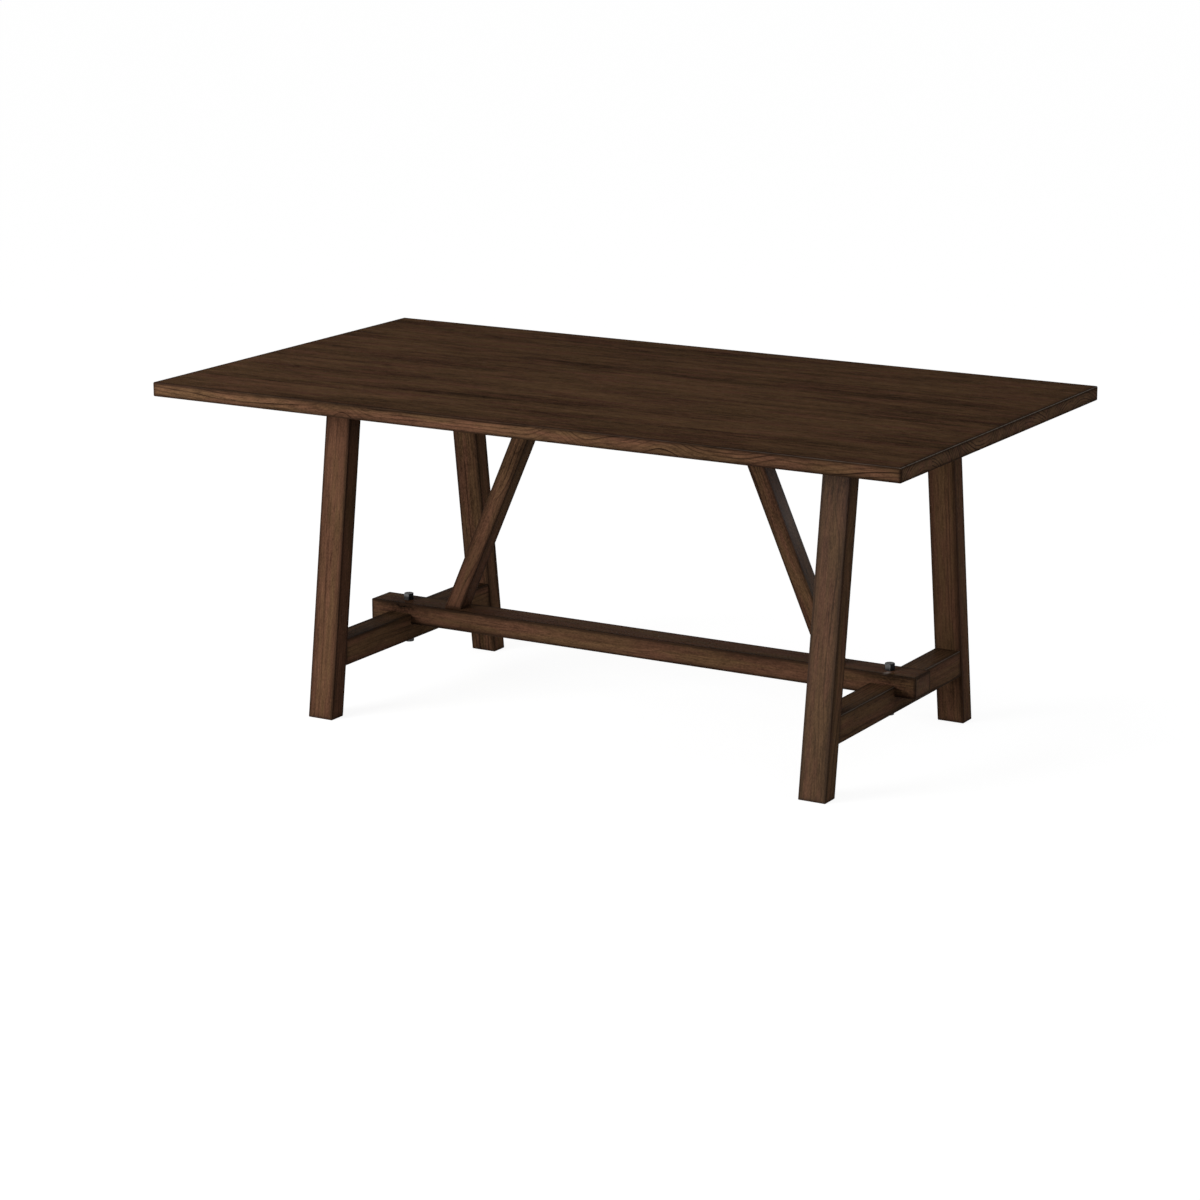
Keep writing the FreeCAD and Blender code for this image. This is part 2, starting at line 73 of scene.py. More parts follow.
def feed(tree, socket, value):
    """Links an input to a socket, or sets it to a plain number, vector or colour."""
    if isinstance(value, bpy.types.NodeSocket):
        tree.links.new(value, socket)
    else:
        socket.default_value = value


def put(tree, kind, *values, **settings):
    """Places one shader node with its settings and feeds its inputs in order. None leaves an input alone."""
    node = tree.nodes.new(kind)
    for name, setting in settings.items():
        setattr(node, name, setting)
    for socket, value in zip(node.inputs, values):
        if value is not None:
            feed(tree, socket, value)
    return node


def sums(tree, operation, *values):
    """One Math node's result."""
    return put(tree, "ShaderNodeMath", *values, operation=operation).outputs[0]


def vectors(tree, operation, *values):
    """One Vector Math node's vector."""
    return put(tree, "ShaderNodeVectorMath", *values, operation=operation).outputs[0]


def step(tree, value, low, high, start=0.0, end=1.0):
    """Smooth step: start below low, end above high, an S curve between them."""
    return put(tree, "ShaderNodeMapRange", value, low, high, start, end,
               interpolation_type="SMOOTHSTEP").outputs[0]


def scaled(tree, vector, factor):
    """A vector or colour times a number."""
    node = put(tree, "ShaderNodeVectorMath", vector, operation="SCALE")
    feed(tree, node.inputs["Scale"], factor)
    return node.outputs[0]


def layered(tree, value, layers):
    """A value plus each layer times its strength."""
    for layer, strength in layers:
        value = sums(tree, "MULTIPLY_ADD", layer, strength, value)
    return value


# How strong each finer layer of noise is, over the coarser one
NOISE_FALL = 0.55


def noise(tree, vector, waves, detail, output="Fac"):
    """Noise over a vector, with so many waves per metre along, across and through the timber."""
    stretched = vectors(tree, "MULTIPLY", vector, waves)
    return put(tree, "ShaderNodeTexNoise", stretched, None, 1.0, detail, NOISE_FALL).outputs[output]


def swing(tree, vector, waves, detail):
    """Noise that swings evenly about zero."""
    return sums(tree, "SUBTRACT", noise(tree, vector, waves, detail), 0.5)


def drift(tree, vector, waves):
    """A vector of noise that swings evenly about zero."""
    return vectors(tree, "SUBTRACT", noise(tree, vector, waves, 2.0, "Color"), (0.5, 0.5, 0.5))


def yearly(tree, year, rate):
    """Noise that changes from ring to ring, with so many waves per year of growth."""
    return put(tree, "ShaderNodeTexNoise", None, sums(tree, "MULTIPLY", year, rate), 1.0, 1.0, 0.5,
               noise_dimensions="1D").outputs["Fac"]


def blend_colour(tree, factor, first, second, kind="MIX"):
    """Mixes two colours by a factor."""
    node = put(tree, "ShaderNodeMix", factor, data_type="RGBA", blend_type=kind)
    feed(tree, node.inputs[6], first)
    feed(tree, node.inputs[7], second)
    return node.outputs[2]


def build_group(name, inputs, outputs):
    """A shader node group with named sockets, its input node and its output node."""
    tree = bpy.data.node_groups.new(name, "ShaderNodeTree")
    for label, kind, value in inputs:
        socket = tree.interface.new_socket(label, in_out="INPUT", socket_type=kind)
        socket.default_value = value
    for label, kind in outputs:
        tree.interface.new_socket(label, in_out="OUTPUT", socket_type=kind)
    return tree, tree.nodes.new("NodeGroupInput").outputs, tree.nodes.new("NodeGroupOutput").inputs


# Unevenness of the glaze along an edge, and the distances from the edge between which each of its masks fades
UNEVEN_WAVES = (18.0, 160.0, 160.0)
UNEVEN_DEPTH = 0.0024
GLAZE_LINE_FADE = (0.0030, 0.0068)
GLAZE_SHADE_FADE = (0.001, 0.019)
ARRIS_FADE = (0.0010, 0.0022)
END_FADE = (0.0004, 0.0010)


def build_glazed_edges():
    """Masks of wiped glaze and of arrises lighter from wear and a painted highlight, on a squared timber.

    The distance from the nearest edge, measured on a face, is the middle one of the three distances that a
    point has from the timber's pairs of faces. Glaze lies in a thin line along the arris, and fades over the
    face.
    """
    tree, given, made = build_group(
        "glazed_edges",
        [("Place", "NodeSocketVector", (0, 0, 0)), ("Half Size", "NodeSocketVector", (1, 1, 1)),
         ("Grain Place", "NodeSocketVector", (0, 0, 0))],
        [("Line", "NodeSocketFloat"), ("Shade", "NodeSocketFloat"), ("Arris", "NodeSocketFloat"),
         ("End", "NodeSocketFloat")])
    inside = vectors(tree, "SUBTRACT", given["Half Size"], vectors(tree, "ABSOLUTE", given["Place"]))
    along, across, through = put(tree, "ShaderNodeSeparateXYZ", inside).outputs
    near = sums(tree, "MINIMUM", across, through)
    far = sums(tree, "MAXIMUM", across, through)
    edge = sums(tree, "MAXIMUM", near, sums(tree, "MINIMUM", far, along))
    edge = layered(tree, edge, [(swing(tree, given["Grain Place"], UNEVEN_WAVES, 2.0), UNEVEN_DEPTH)])
    for label, distance, fade in (("Line", edge, GLAZE_LINE_FADE), ("Shade", edge, GLAZE_SHADE_FADE),
                                  ("Arris", edge, ARRIS_FADE), ("End", along, END_FADE)):
        feed(tree, made[label], step(tree, distance, *fade, 1.0, 0.0))
    return tree


GLAZED_EDGES = build_glazed_edges()


# Waves per metre of each kind of mark in the wood, along, across and through the log
SWAY_WAVES = (2.1, 4.0, 4.0)
RIPPLE_WAVES = (14.0, 45.0, 45.0)
BREAK_WAVES = (6.0, 36.0, 36.0)
PORE_WAVES = (26.0, 820.0, 820.0)
FIBRE_WAVES = (9.0, 330.0, 330.0)
FLECK_WAVES = (36.0, 190.0, 190.0)
SPECK_WAVES = (190.0, 420.0, 420.0)
BAND_WAVES = (1.7, 12.0, 12.0)
STREAK_WAVES = (5.5, 58.0, 58.0)
CLOUD_WAVES = (10.0, 30.0, 30.0)
RED_WAVES = (5.5, 40.0, 40.0)
# Rings: how far they ripple, how fast and how much their width changes, and how fast their contrast does
RIPPLE_DEPTH = (0.0, 0.0034, 0.0034)
GROWTH_RATE = 0.31
GROWTH_CHANGE = 1.1
SEASON_RATE = 0.37
# Where late wood rises and ends in a ring, as shares of it
LATE_RISE = (0.55, 0.90)
LATE_END = (0.94, 1.0)
# Smooth steps of the noise, each from low to high, and some with the values at both ends: how strong a year's
# late wood is, where it breaks off, where pores are, how few are late in a ring, and where the hue turns red
SEASON_STEP = (0.34, 0.68, 0.08, 1.0)
BREAK_STEP = (0.36, 0.62, 0.45, 1.0)
PORE_STEP = (0.56, 0.70)
PORE_YEAR_STEP = (0.1, 0.75, 1.0, 0.2)
HUE_STEP = (0.36, 0.64)
# How much dark bands redden, and how much plain heartwood is mixed into the hue
BAND_RED = -0.20
HEARTWOOD_SHARE = 0.5
# How strongly each mark changes how light the wood is, how rough it is and how high it stands
STREAK_SHARE = 0.75
FIBRE_LIGHT = 0.70
CLOUD_LIGHT = 0.42
PORE_GLAZE = 0.55
# End grain is paled towards a grey that is also a painted sheen
END_PALE = 0.12
EDGE_SHADE = 0.36
TIMBER_ROUGHNESS = 0.50
PORE_ROUGHNESS = 0.16
CLOUD_ROUGHNESS = 0.14
ARRIS_ROUGHNESS = -0.10
PORE_RELIEF = -0.7
LATE_RELIEF = 0.35
FIBRE_RELIEF = 0.35


def build_stained_timber():
    """Growth rings, pores, fibres and stain of one timber, from its own along, across and through places.

    Rings are cylinders round the pith, which wanders along the log, so each face shows the cut that it makes
    through them, and some years are wider than others. Late wood darkens each ring's outer part, and pores
    are short dashes in its inner part. Bands, streaks, flecks and specks are noise drawn out along the grain.
    """
    tree, given, made = build_group(
        "stained_timber",
        [("Place", "NodeSocketVector", (0, 0, 0)), ("Half Size", "NodeSocketVector", (1, 1, 1)),
         ("Lean", "NodeSocketVector", (0, 0, 0)), ("Pith", "NodeSocketVector", (0, 0, 0)),
         ("Bow", "NodeSocketVector", (0, 0, 0)), ("Wander", "NodeSocketFloat", 0.016),
         ("Ring", "NodeSocketFloat", 0.0076), ("Line", "NodeSocketFloat", 0.90),
         ("Banding", "NodeSocketFloat", 0.55), ("Fleck", "NodeSocketFloat", 0.60),
         ("Speck", "NodeSocketFloat", 0.75),
         ("Tone", "NodeSocketFloat", 1.0), ("Red", "NodeSocketFloat", 0.5),
         ("Glaze", "NodeSocketFloat", 0.45), ("Wear And Highlight", "NodeSocketFloat", 0.0)],
        [("Color", "NodeSocketColor"), ("Roughness", "NodeSocketFloat"), ("Height", "NodeSocketFloat")])
    reach = put(tree, "ShaderNodeSeparateXYZ", given["Place"]).outputs[0]
    straight = vectors(tree, "SUBTRACT", given["Place"], scaled(tree, given["Lean"], reach))
    log = vectors(tree, "SUBTRACT", straight, given["Pith"])

    swayed = scaled(tree, drift(tree, log, SWAY_WAVES), given["Wander"])
    rippled = vectors(tree, "MULTIPLY", drift(tree, log, RIPPLE_WAVES), RIPPLE_DEPTH)
    bent = vectors(tree, "ADD", vectors(tree, "ADD", log, given["Bow"]), swayed)
    bent = vectors(tree, "ADD", bent, rippled)
    radial = vectors(tree, "MULTIPLY", bent, (0.0, 1.0, 1.0))
    radius = put(tree, "ShaderNodeVectorMath", radial, operation="LENGTH").outputs["Value"]
    year = sums(tree, "DIVIDE", radius, given["Ring"])
    year = sums(tree, "MULTIPLY_ADD", yearly(tree, year, GROWTH_RATE), GROWTH_CHANGE, year)
    ring = sums(tree, "FRACT", year)
    late = sums(tree, "MULTIPLY", step(tree, ring, *LATE_RISE), step(tree, ring, *LATE_END, 1.0, 0.0))
    late = sums(tree, "MULTIPLY", late, step(tree, yearly(tree, year, SEASON_RATE), *SEASON_STEP))
    late = sums(tree, "MULTIPLY", late, step(tree, noise(tree, log, BREAK_WAVES, 2.0), *BREAK_STEP))

    pores = step(tree, noise(tree, log, PORE_WAVES, 1.0), *PORE_STEP)
    pores = sums(tree, "MULTIPLY", pores, step(tree, ring, *PORE_YEAR_STEP))
    fibres = swing(tree, log, FIBRE_WAVES, 3.0)
    flecks = swing(tree, log, FLECK_WAVES, 2.0)
    specks = swing(tree, log, SPECK_WAVES, 1.0)
    bands = swing(tree, log, BAND_WAVES, 2.0)
    streaks = swing(tree, log, STREAK_WAVES, 3.0)
    clouds = swing(tree, log, CLOUD_WAVES, 3.0)
    redness = sums(tree, "ADD", swing(tree, log, RED_WAVES, 3.0), given["Red"])
    hue = step(tree, sums(tree, "MULTIPLY_ADD", bands, BAND_RED, redness), *HUE_STEP)

    colour = blend_colour(tree, hue, OLIVE_STREAK, RED_STREAK)
    colour = blend_colour(tree, HEARTWOOD_SHARE, colour, HEARTWOOD)
    colour = blend_colour(tree, sums(tree, "MULTIPLY", late, given["Line"]), colour, LATE_WOOD)
    streaking = sums(tree, "MULTIPLY", given["Banding"], STREAK_SHARE)
    light = layered(tree, given["Tone"],
                    ((bands, given["Banding"]), (streaks, streaking), (fibres, FIBRE_LIGHT),
                     (flecks, given["Fleck"]), (specks, given["Speck"]), (clouds, CLOUD_LIGHT)))
    colour = scaled(tree, colour, light)

    edges = put(tree, "ShaderNodeGroup", node_tree=GLAZED_EDGES)
    feed(tree, edges.inputs["Place"], straight)
    feed(tree, edges.inputs["Half Size"], given["Half Size"])
    feed(tree, edges.inputs["Grain Place"], log)
    arris = edges.outputs["Arris"]
    # Glaze, pale end grain that is also a painted sheen, and arrises lighter from wear and a painted
    # highlight
    for mask, strength, laid in ((pores, PORE_GLAZE, GLAZE), (edges.outputs["End"], END_PALE, END_GRAIN_AND_SHEEN),
                                 (edges.outputs["Shade"], EDGE_SHADE, GLAZE),
                                 (edges.outputs["Line"], given["Glaze"], GLAZE),
                                 (arris, given["Wear And Highlight"], ARRIS_WEAR_AND_HIGHLIGHT)):
        colour = blend_colour(tree, sums(tree, "MULTIPLY", mask, strength), colour, laid)
    feed(tree, made["Color"], colour)
    roughnesses = ((pores, PORE_ROUGHNESS), (clouds, CLOUD_ROUGHNESS), (arris, ARRIS_ROUGHNESS))
    feed(tree, made["Roughness"], layered(tree, TIMBER_ROUGHNESS, roughnesses))
    reliefs = ((pores, PORE_RELIEF), (late, LATE_RELIEF), (fibres, FIBRE_RELIEF))
    feed(tree, made["Height"], layered(tree, 0.0, reliefs))
    return tree


STAINED_TIMBER = build_stained_timber()
TIMBER_GLOSS = 0.003
# Strength and depth in metres of the wood's relief
TIMBER_RELIEF = (1.0, 0.00022)


def new_material(name):
    """An empty material and its node tree."""
    material = bpy.data.materials.new(name)
    material.use_nodes = True
    material.node_tree.nodes.clear()
    return material, material.node_tree


def show_surface(tree, colour, metal, roughness, gloss, height, relief):
    """Ends a material's tree with one surface, raised by a height with the relief's strength and depth."""
    bump = put(tree, "ShaderNodeBump", *relief)
    feed(tree, bump.inputs["Height"], height)
    shader = put(tree, "ShaderNodeBsdfPrincipled", colour, metal, roughness)
    feed(tree, shader.inputs["Normal"], bump.outputs[0])
    shader.inputs["Specular IOR Level"].default_value = gloss
    put(tree, "ShaderNodeOutputMaterial", shader.outputs[0])


def timber_material(name, middle, axes, half, pith, lean=(0.0, 0.0, 0.0), gloss=TIMBER_GLOSS, **values):
    """Stained timber placed on one piece: its middle, its axes, half its size, and the pith of its log."""
    material, tree = new_material(name)
    place = put(tree, "ShaderNodeTexCoord").outputs["Object"]
    turned = axes.to_euler()
    mapped = put(tree, "ShaderNodeMapping", place, tuple(middle), tuple(turned), vector_type="TEXTURE")
    timber = put(tree, "ShaderNodeGroup", node_tree=STAINED_TIMBER)
    feed(tree, timber.inputs["Place"], mapped.outputs[0])
    feed(tree, timber.inputs["Half Size"], tuple(half))
    feed(tree, timber.inputs["Lean"], lean)
    feed(tree, timber.inputs["Pith"], pith)
    for label, value in values.items():
        feed(tree, timber.inputs[label], value)
    colour, roughness, height = timber.outputs
    show_surface(tree, colour, 0.0, roughness, gloss, height, TIMBER_RELIEF)
    return material


def dress(node, material):
    """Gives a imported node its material."""
    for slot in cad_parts[node].material_slots:
        slot.material = material


def bell(tree, along, centre, reach):
    """A bell curve along a timber: e to the minus square of the distance from its centre, over its reach."""
    away = sums(tree, "DIVIDE", sums(tree, "SUBTRACT", along, centre), reach)
    return sums(tree, "POWER", math.e, sums(tree, "MULTIPLY", sums(tree, "MULTIPLY", away, away), -1.0))


def timber_parts(material):
    """A timber material's node tree, its timber group, and the places along, across and through it."""
    tree = material.node_tree
    timber = next(node for node in tree.nodes if node.type == "GROUP")
    place = timber.inputs["Place"].links[0].from_socket
    return tree, timber, put(tree, "ShaderNodeSeparateXYZ", place).outputs


def vary_along(tree, along, value, changes):
    """A value along a timber, plus a bell curve for each change, given as its place, reach and amount."""
    bells = [(bell(tree, along, place, reach), amount) for place, reach, amount in changes]
    return layered(tree, value, bells)


def under(distance, depths):
    """Places at some depths under a face that stands at a distance from the middle."""
    return [distance - depth for depth in depths]


# Depths under a face between which the mask of that face starts
FACE_SKIN = (0.0022, 0.0006)


def face_mask(material, axis, side, half, lean=(0.0, 0.0, 0.0)):
    """A timber material's tree and timber group, the place along it, and a mask of one of its faces.

    The axis is 1 for a face across the timber and 2 for one through it, and the side is 1 or -1 on that axis.
    The mask is a smooth step just under the face.
    """
    tree, timber, places = timber_parts(material)
    square = sums(tree, "MULTIPLY_ADD", places[0], -lean[axis], places[axis])
    outward = sums(tree, "MULTIPLY", square, side)
    return tree, timber, places[0], step(tree, outward, *under(half[axis], FACE_SKIN))


def tone_faces(material, face, tones, other_tones):
    """Sets the tone of one face and of the others, each with changes along: stain, painted light and shade.
    """
    tree, timber, along, mask = face_mask(material, *face)
    here = vary_along(tree, along, *tones)
    elsewhere = vary_along(tree, along, *other_tones)
    left = sums(tree, "MULTIPLY", elsewhere, sums(tree, "SUBTRACT", 1.0, mask))
    feed(tree, timber.inputs["Tone"], sums(tree, "MULTIPLY_ADD", here, mask, left))
    return material


def shader_of(tree):
    """The node that shades a material's surface."""
    return next(node for node in tree.nodes if node.type == "BSDF_PRINCIPLED")


POLISH_ROUGHNESS = 0.5


def polish_face(material, face, polish, changes=()):
    """Polishes one face of a timber: a thin coat on that face, with a weight that may change along it."""
    tree, _, along, mask = face_mask(material, *face)
    shader = shader_of(tree)
    weight = sums(tree, "MULTIPLY", mask, vary_along(tree, along, polish, changes))
    feed(tree, shader.inputs["Coat Weight"], weight)
    shader.inputs["Coat Roughness"].default_value = POLISH_ROUGHNESS
    return material


def add_bows(material, direction, bows):
    """Bends the pith of a log one way: a sum of bell curves along it, each with centre, reach and depth."""
    tree, timber, places = timber_parts(material)
    depth = vary_along(tree, places[0], 0.0, bows)
    feed(tree, timber.inputs["Bow"], scaled(tree, direction, depth))
    return material


# Each leg's name, pith, redness and ring contrast, how light it is on its front and on its other faces, and
# the places along it that differ. The back left leg's front is darker as painted shade under the top.
LEGS = (("leg_front_left", (1.3, 0.075, 0.085), 0.58, 0.50, 0.76, 0.76, ()),
        ("leg_back_left", (4.9, -0.120, 0.050), 0.50, 0.90, 0.49, 0.98, ()),
        ("leg_front_right", (8.2, -0.085, 0.060), 0.46, 0.75, 0.80, 0.80, ()),
        ("leg_back_right", (12.6, 0.090, -0.070), 0.48, 0.75, 0.86, 0.86, ((-0.290, 0.070, -0.13),)))
KNEE_POLISH = 0.09
# Reach and depth of painted shade at a timber's head, where the wood above it shades it
HEAD_SHADE = (0.055, -0.28)
# Where the right front leg's rings swell sideways: place along it, reach and depth
LEG_BOWS = ((0.272, 0.045, 0.014), (0.150, 0.060, -0.008), (-0.080, 0.100, 0.010))
SIDEWAYS = (0.0, 1.0, 0.0)
for name, pith, red, line, tone, other_tone, changes in LEGS:
    low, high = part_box(name)
    outward = -1 if "front" in name else 1
    middle = ((low.x + high.x) / 2, outward * (FOOT_AXIS - math.tan(LEG_SPLAY) * BEARER_UNDERSIDE / 2),
              BEARER_UNDERSIDE / 2)
    half = (BEARER_UNDERSIDE / 2, (high.x - low.x) / 2, LEG_HALF_DEPTH)
    lean = (0.0, 0.0, -outward * math.tan(LEG_SPLAY))
    stain = timber_material(name + "_stain", middle, UPRIGHT, half, pith, lean, Red=red, Line=line)
    front = (2, -1, half, lean)
    # Painted shade at the leg's head, under the bearer and the top
    changes += ((half[0], *HEAD_SHADE),)
    # On the back left leg the darker front is painted shade under the top
    stain = tone_faces(stain, front, (tone, changes), (other_tone, changes))
    if name == "leg_front_right":
        stain = add_bows(stain, SIDEWAYS, LEG_BOWS)
        stain = polish_face(stain, front, KNEE_POLISH)
    dress(name, stain)

# Lower rails
# One short hardwood rail across each trestle, low down, tenoned into the two legs at their inner faces.
# Its top is notched for the stretcher, and its eased upper edges are lighter than the faces, from wear and a
# painted highlight.
# Each rail's name, pith, and wear with a painted highlight on its upper arrises, then how light its top is,
# and its other faces, with the places that differ. The darkening near the crossing and the left rail's dark
# top are painted shade, and the lighter place on the right rail's top behind the stretcher is painted light.
LOWER_RAILS = (("lower_rail_left", (2.1, 0.060, 0.100), 0.06,
                (0.54, ((-0.280, 0.050, 0.25), (-0.215, 0.045, -0.14))), (1.12, ((0.0, 0.190, -0.29),))),
               ("lower_rail_right", (5.7, -0.050, 0.120), 0.45,
                (0.80, ((0.090, 0.120, 0.52),)), (0.82, ((0.0, 0.130, -0.24),))))
RAIL_RED = 0.42
RAIL_HALF_LENGTH = 0.3014
# Depths under a timber's top between which the wear and painted highlight of its upper arrises start
UPPER_WEAR_AND_HIGHLIGHT = (0.0035, 0.0015)
CROSSINGS = []


def upper_wear_and_highlight(tree, upward, half_height, amount):
    """Wear and painted highlight of the upper arrises only: a smooth step at the height where their rounding
    starts.
    """
    return step(tree, upward, *under(half_height, UPPER_WEAR_AND_HIGHLIGHT), 0.0, amount)


for name, pith, arris_wear_and_highlight, top_tones, other_tones in LOWER_RAILS:
    low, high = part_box(name)
    CROSSINGS.append((low.x + high.x) / 2)
    half = (RAIL_HALF_LENGTH, (high.z - low.z) / 2, (high.x - low.x) / 2)
    stain = timber_material(name + "_stain", (low + high) / 2, CROSSWAYS, half, pith, Red=RAIL_RED)
    # Painted shade near the crossing and on the left rail's top, painted light on the right rail's top
    stain = tone_faces(stain, (1, 1, half), top_tones, other_tones)
    tree, timber, (_, upward, _) = timber_parts(stain)
    # Upper arrises lighter from wear and a painted highlight
    feed(tree, timber.inputs["Wear And Highlight"], upper_wear_and_highlight(tree, upward, half[1], arris_wear_and_highlight))
    dress(name, stain)
RAIL_UNDERSIDE = low.z

# Bearers
# One hardwood bearer on top of each trestle, thinned towards its ends so that it can't be seen from a chair.
# The legs are tenoned into it, and screws go up through it into the boards of the top.
BEARERS = (("bearer_left", (3.4, 0.070, 0.060)), ("bearer_right", (7.9, -0.080, 0.050)))
HIDDEN_TONE = 0.92


def dress_crosspiece(name, pith):
    """Stains a bar that lies across the table under its top."""
    low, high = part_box(name)
    half = ((high.y - low.y) / 2, (high.z - low.z) / 2, (high.x - low.x) / 2)
    middle = (low + high) / 2
    dress(name, timber_material(name + "_stain", middle, CROSSWAYS, half, pith, Tone=HIDDEN_TONE))


for name, pith in BEARERS:
    dress_crosspiece(name, pith)

# Stretcher
# One long hardwood rail from trestle to trestle, halved over the lower rails and run on past them.
# It is held down by a bolt at each crossing, and it carries the feet of the two braces.
low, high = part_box("stretcher")
STRETCHER_TOP = high.z
STRETCHER_PITH = (6.3, 0.085, 0.030)
STRETCHER_LINE = 0.72
STRETCHER_GLAZE = 0.65
STRETCHER_TONE = 0.86
# Places from the stretcher's middle where its front, and then its other faces, are darker or lighter. The
# darkening at the crossings is painted shade where the rails cross it.
STRETCHER_FRONT = ((-0.620, 0.060, -0.52), (-0.491, 0.070, 0.22), (0.649, 0.060, -0.36))
STRETCHER_SIDES = ((-0.620, 0.070, -0.33), (0.640, 0.040, 0.16))
# A pale patch on the top beside the right bolt: its place along and across, reach and colour
PALE_PATCH = (CROSSINGS[1] + 0.0055, -0.0245)
PALE_PATCH_REACH = (0.0054, 0.0085)
PALE_PATCH_COLOUR = (0.370, 0.310, 0.285, 1.0)
PALE_PATCH_SKIN = (0.002, 0.001)
PATCH_STREAK_WAVES = (700.0, 160.0, 160.0)
PATCH_STREAK_STEP = (0.30, 0.60, 0.55, 1.0)


def pale_patch(material, place, reach, half_height):
    """Pales a patch of a timber's top: a bell curve along times one across, broken by fine streaks."""
    tree, timber, (along, across, through) = timber_parts(material)
    patch = bell(tree, along, place[0], reach[0])
    patch = sums(tree, "MULTIPLY", patch, bell(tree, across, place[1], reach[1]))
    patch = sums(tree, "MULTIPLY", patch, step(tree, through, *under(half_height, PALE_PATCH_SKIN)))
    patch_streaks = noise(tree, timber.inputs["Place"].links[0].from_socket, PATCH_STREAK_WAVES, 2.0)
    patch = sums(tree, "MULTIPLY", patch, step(tree, patch_streaks, *PATCH_STREAK_STEP))
    paled = blend_colour(tree, patch, timber.outputs["Color"], PALE_PATCH_COLOUR)
    feed(tree, shader_of(tree).inputs["Base Color"], paled)
    return material


middle = (low + high) / 2
half = (high - low) / 2
stain = timber_material("stretcher_stain", middle, LENGTHWAYS, half, STRETCHER_PITH,
                        Line=STRETCHER_LINE, Glaze=STRETCHER_GLAZE)
# Painted shade at the crossings
stain = tone_faces(stain, (1, -1, half), (STRETCHER_TONE, STRETCHER_FRONT),
                   (STRETCHER_TONE, STRETCHER_SIDES))
dress("stretcher", pale_patch(stain, (PALE_PATCH[0] - middle.x, PALE_PATCH[1] - middle.y), PALE_PATCH_REACH, half.z))

# Crossing bolts, washers and nuts
# A hexagon-headed bolt goes down through each crossing of stretcher and rail, with a washer and a nut below.
# They are forged steel with rolled threads and a black fired finish, worn grey on the flats that a spanner
# grips. That grey is also painted light on the front flat and a painted highlight on the crown, and the other
# flats of a head stay black as painted shade. Each piece is darker towards its seat.
BOLT_RADIUS = 0.007
BOLT_HEAD_HEIGHT = 0.0152
BOLT_PROJECTION = 0.001
WASHER_THICKNESS = 0.0025
NUT_HEIGHT = 0.0128
NUT_BORE = 0.0071
BORE_MOUTH = 0.0009
THREAD_PITCH = 0.002
THREAD_DEPTH = 0.0011
THREAD_LENGTH = 0.034
HALF_FLATS = 0.0105
CHAMFER_CIRCLE = 0.95 * HALF_FLATS
CHAMFER_RUN = 1 / math.tan(math.radians(30.0))
HEAD_DISH = 0.0005
# Rows of points up a bolt's thread, then up its head's flats and chamfer as shares of the head's height, and
# in over its crown as shares of the chamfer circle
THREAD_ROWS = 170
FLAT_SHARES = np.linspace(0.0, 0.85, 8)
CHAMFER_SHARES = np.linspace(0.88, 1.0, 12)
CROWN_SHARES = np.array([0.97, 0.85, 0.6, 0.3, 0.06])
# Rows up a nut at its mouths and between them, as shares of its height
MOUTH_SHARES = np.linspace(0.0, 0.12, 10)
NUT_SHARES = np.linspace(0.2, 0.8, 5)
TURN_STEPS = 144
TURNS = np.linspace(0.0, 2 * np.pi, TURN_STEPS, endpoint=False)


def hexagon_radius(turn):
    """A hexagon's radius: half its width over flats, over the cosine of the angle from a side's middle."""
    return HALF_FLATS / np.cos(np.mod(turn, np.pi / 3) - np.pi / 6)


def chamfered(turn, from_end):
    """A chamfered hexagon: the lesser of the hexagon's radius and of a cone that narrows towards the end."""
    return np.minimum(hexagon_radius(turn), CHAMFER_CIRCLE + np.maximum(from_end, 0.0) * CHAMFER_RUN)


def bolt_surface(tip, seat):
    """A bolt as rings of points from its tip up: rolled thread, plain shank, chamfered head and dished top.

    The thread's radius falls by half the depth times one minus a cosine of height over pitch less turn, and
    its start is a cone. The dish sinks as one minus the square of the distance from the middle.
    """
    crown = seat + BOLT_HEAD_HEIGHT
    thread = np.linspace(0.0, THREAD_LENGTH, THREAD_ROWS)
    up = np.concatenate([thread, [THREAD_LENGTH + THREAD_PITCH, seat - tip]])
    wave = np.cos(2 * np.pi * up[:, None] / THREAD_PITCH - TURNS)
    fade = np.clip((THREAD_LENGTH - up[:, None]) / THREAD_PITCH, 0.0, 1.0)
    shank = BOLT_RADIUS - THREAD_DEPTH / 2 * (1 - wave) * fade
    shank = np.minimum(shank, BOLT_RADIUS - THREAD_DEPTH + up[:, None])
    rise = BOLT_HEAD_HEIGHT * np.concatenate([FLAT_SHARES, CHAMFER_SHARES])
    head = chamfered(TURNS, BOLT_HEAD_HEIGHT - rise[:, None])
    crown_radius = CHAMFER_CIRCLE * CROWN_SHARES[:, None] + 0.0 * TURNS
    radius = np.concatenate([shank, head, crown_radius])
    height = np.concatenate([tip + up, seat + rise, crown - HEAD_DISH * (1 - CROWN_SHARES ** 2)])
    return radius, height


def nut_surface(low):
    """A nut as rings of points up its chamfered outside and down its bore, which opens out at both mouths."""
    rise = NUT_HEIGHT * np.concatenate([MOUTH_SHARES, NUT_SHARES, 1 - MOUTH_SHARES[::-1]])
    from_end = np.minimum(rise, NUT_HEIGHT - rise)[:, None]
    outside = chamfered(TURNS, from_end)
    bore = NUT_BORE + np.maximum(BORE_MOUTH - from_end, 0.0) + 0.0 * TURNS
    radius = np.concatenate([outside, bore[::-1]])
    height = low + np.concatenate([rise, rise[::-1]])
    return radius, height


